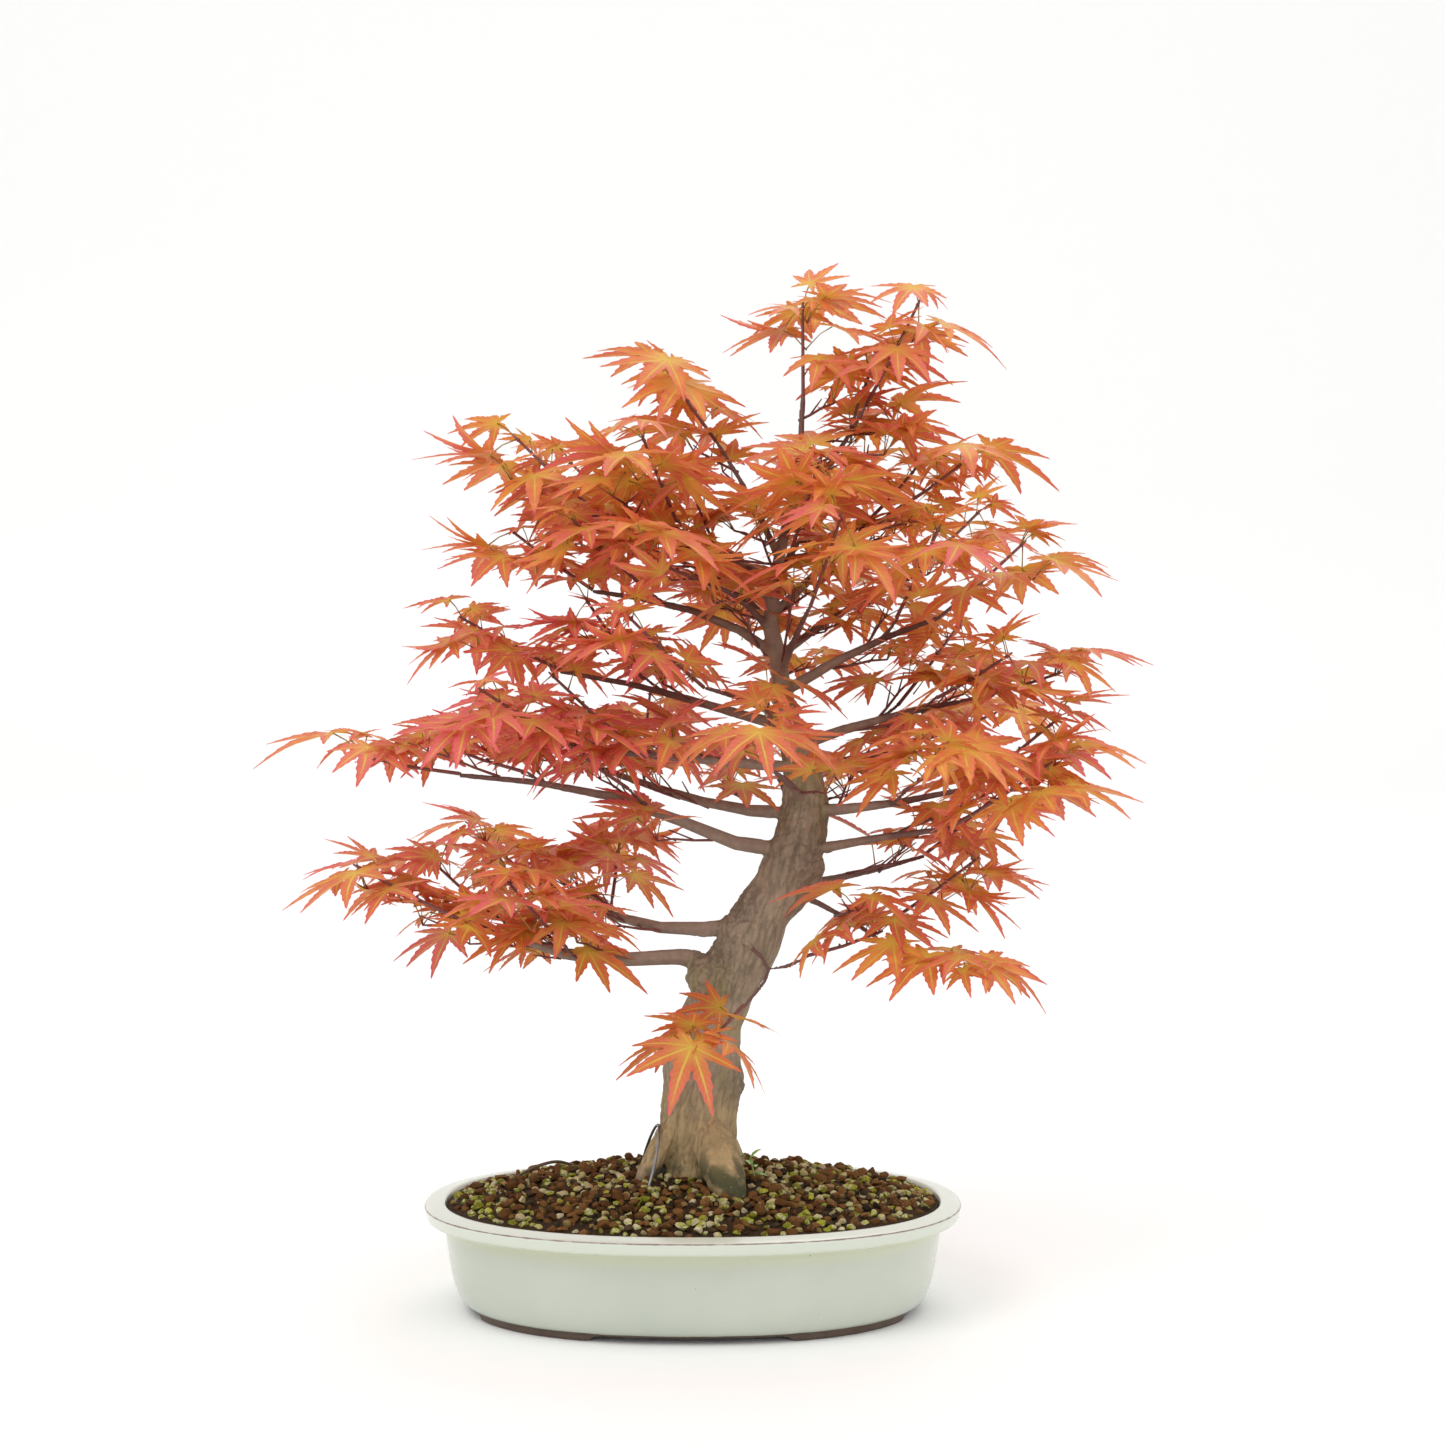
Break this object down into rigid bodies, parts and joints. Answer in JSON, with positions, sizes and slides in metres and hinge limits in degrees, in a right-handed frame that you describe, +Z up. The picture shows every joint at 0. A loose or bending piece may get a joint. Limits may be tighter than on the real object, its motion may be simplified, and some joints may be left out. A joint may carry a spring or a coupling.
{
  "type": "bonsai tree in a pot",
  "caption": "Maple bonsai in red and orange spring leaf, with a curved trunk, spreading branches and surface roots, in an oval glazed footed pot of gritty soil.",
  "frame": {"origin": "on the surface that the pot's feet stand on, under the middle of the whole tree's box", "axes": "+Z up; +X to the right along the pot's length, seen from the tree's front; -Y towards the front"},
  "size_m": [0.5488, 0.3642, 0.6271],
  "materials": {
    "glaze": "gloss",
    "soil": "rough grit",
    "bark": "fissured bark",
    "mesh_plastic": "matte",
    "wire": "satin",
    "weed_leaf": "soft",
    "leaf": "soft"
  },
  "bodies": {
    "root": {"pot": "glaze", "soil": "soil", "trunk_and_branches": "bark", "drain_screen_left": "mesh_plastic", "screen_clip_left": "wire", "drain_screen_right": "mesh_plastic", "screen_clip_right": "wire", "tie_down_wire": "wire", "weed_seedling": "weed_leaf", "leafy_twig_01": "leaf", "leafy_twig_02": "leaf", "leafy_twig_03": "leaf", "leafy_twig_04": "leaf", "leafy_twig_05": "leaf", "leafy_twig_06": "leaf", "leafy_twig_07": "leaf", "leafy_twig_08": "leaf", "leafy_twig_09": "leaf", "leafy_twig_10": "leaf", "leafy_twig_11": "leaf", "leafy_twig_12": "leaf", "leafy_twig_13": "leaf", "leafy_twig_14": "leaf", "leafy_twig_15": "leaf", "leafy_twig_16": "leaf", "leafy_twig_17": "leaf", "leafy_twig_18": "leaf", "leafy_twig_19": "leaf", "leafy_twig_20": "leaf", "leafy_twig_21": "leaf", "leafy_twig_22": "leaf", "leafy_twig_23": "leaf", "leafy_twig_24": "leaf", "leafy_twig_25": "leaf", "leafy_twig_26": "leaf", "leafy_twig_27": "leaf", "leafy_twig_28": "leaf", "leafy_twig_29": "leaf", "leafy_twig_30": "leaf", "leafy_twig_31": "leaf", "leafy_twig_32": "leaf", "leafy_twig_33": "leaf", "leafy_twig_34": "leaf", "leafy_twig_35": "leaf", "leafy_twig_36": "leaf", "leafy_twig_37": "leaf", "leafy_twig_38": "leaf", "leafy_twig_39": "leaf", "leafy_twig_40": "leaf", "leafy_twig_41": "leaf", "leafy_twig_42": "leaf", "leafy_twig_43": "leaf", "leafy_twig_44": "leaf", "leafy_twig_45": "leaf", "leafy_twig_46": "leaf", "leafy_twig_47": "leaf", "leafy_twig_48": "leaf", "leafy_twig_49": "leaf", "leafy_twig_50": "leaf"}
  },
  "joints": []
}
